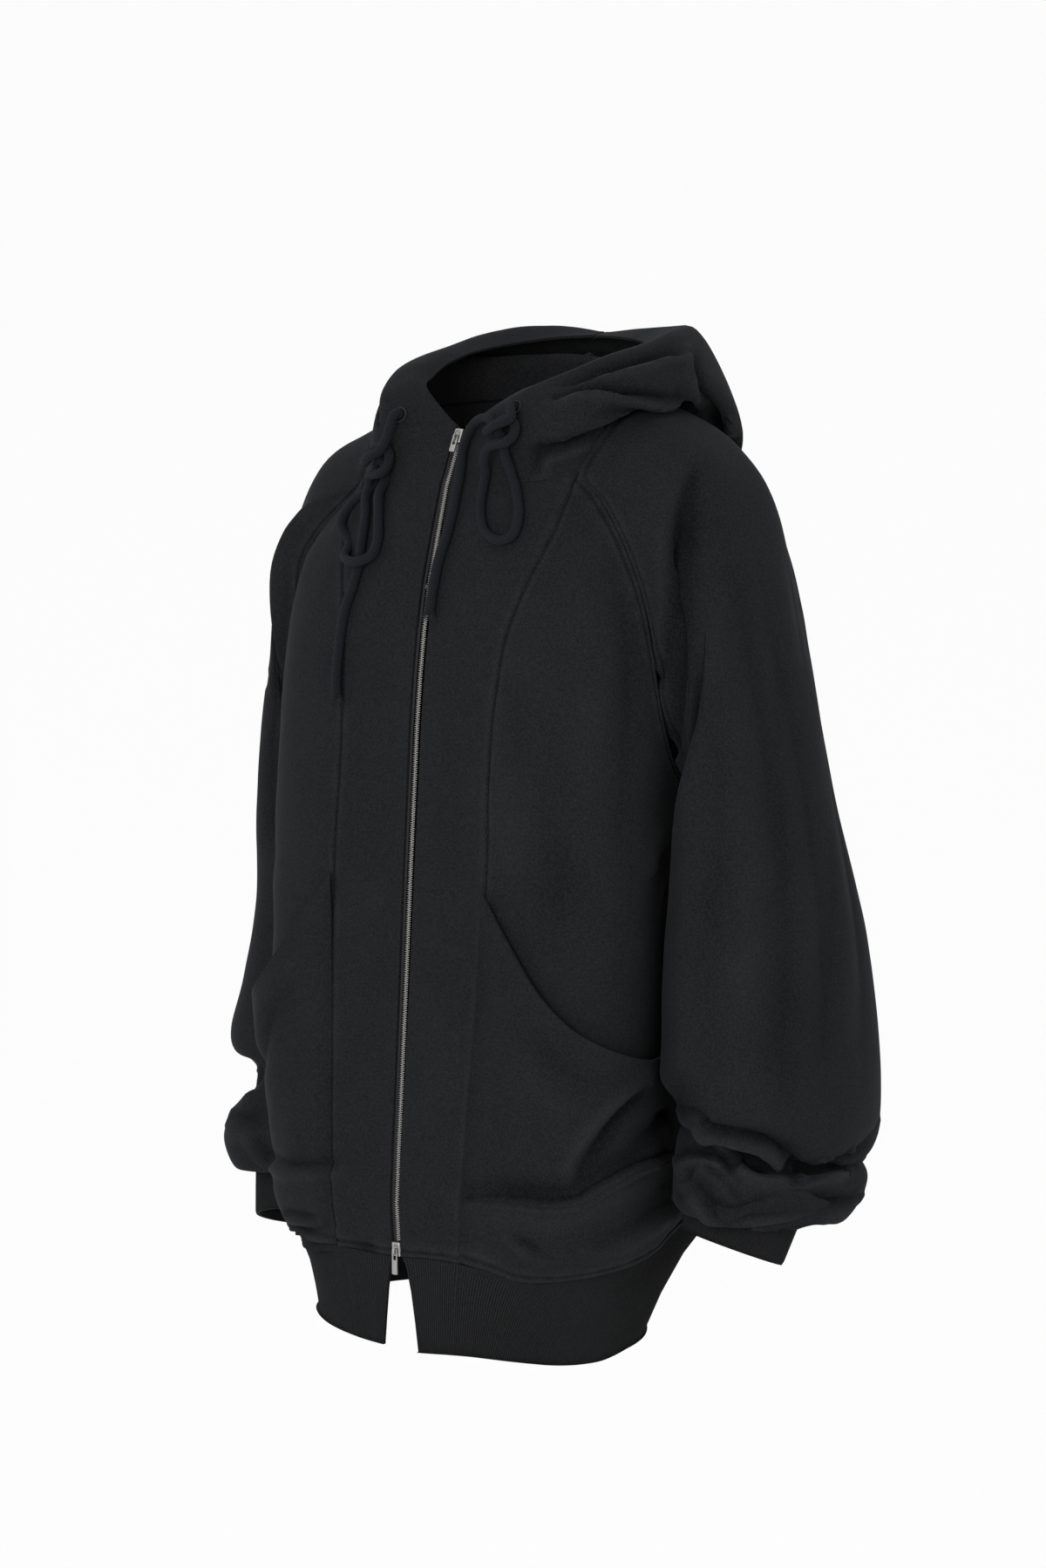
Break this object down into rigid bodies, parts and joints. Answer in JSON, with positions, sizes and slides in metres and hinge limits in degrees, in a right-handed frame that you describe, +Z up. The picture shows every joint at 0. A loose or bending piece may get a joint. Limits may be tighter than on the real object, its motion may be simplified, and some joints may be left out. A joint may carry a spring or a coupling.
{
  "type": "zip up hoodie",
  "caption": "Loose zip hoodie worn open at the neck with its hood down, raglan sleeves, curved patch pockets, knotted drawcords, and ribbed cuffs and hem.",
  "frame": {"origin": "base of the neck, between the shoulders, where the wearer's shoulders hold the garment up", "axes": "+Z up, -Y the way the garment's front faces, +X towards the garment's own left sleeve"},
  "size_m": [0.596, 0.3491, 0.8211],
  "materials": {
    "jersey": "heavy smooth cotton jersey, matte with a soft sheen",
    "rib_knit": "fine rib knit, matte",
    "cord_knit": "braided cord, matte",
    "zip_tape": "woven tape, matte",
    "metal": "bright nickel, satin"
  },
  "bodies": {
    "garment": {"centre_front_left": "jersey", "centre_front_right": "jersey", "side_front_left": "jersey", "side_front_right": "jersey", "back": "jersey", "sleeve_left": "jersey", "sleeve_right": "jersey", "cuff_left": "rib_knit", "cuff_right": "rib_knit", "hem_rib": "rib_knit", "pocket_left": "jersey", "pocket_right": "jersey", "hood_left": "jersey", "hood_right": "jersey", "zip_tape_left": "zip_tape", "zip_tape_right": "zip_tape", "zip_chain": "metal", "top_slider": "metal", "bottom_slider": "metal", "eyelet_left": "cord_knit", "eyelet_right": "cord_knit", "drawcord_left": "cord_knit", "drawcord_right": "cord_knit"},
    "top_tab": {"top_pull_tab": "metal"},
    "bottom_tab": {"bottom_pull_tab": "metal"}
  },
  "joints": [
    {"name": "top_tab_hinge", "type": "hinge", "parent": "garment", "child": "top_tab", "pos_m": [0, -0.08276, -0.05128], "axis": [-1, 0, 0], "range_deg": [0, 130]},
    {"name": "bottom_tab_hinge", "type": "hinge", "parent": "garment", "child": "bottom_tab", "pos_m": [0, -0.16589, -0.70506], "axis": [-1, 0, 0], "range_deg": [0, 150]}
  ]
}
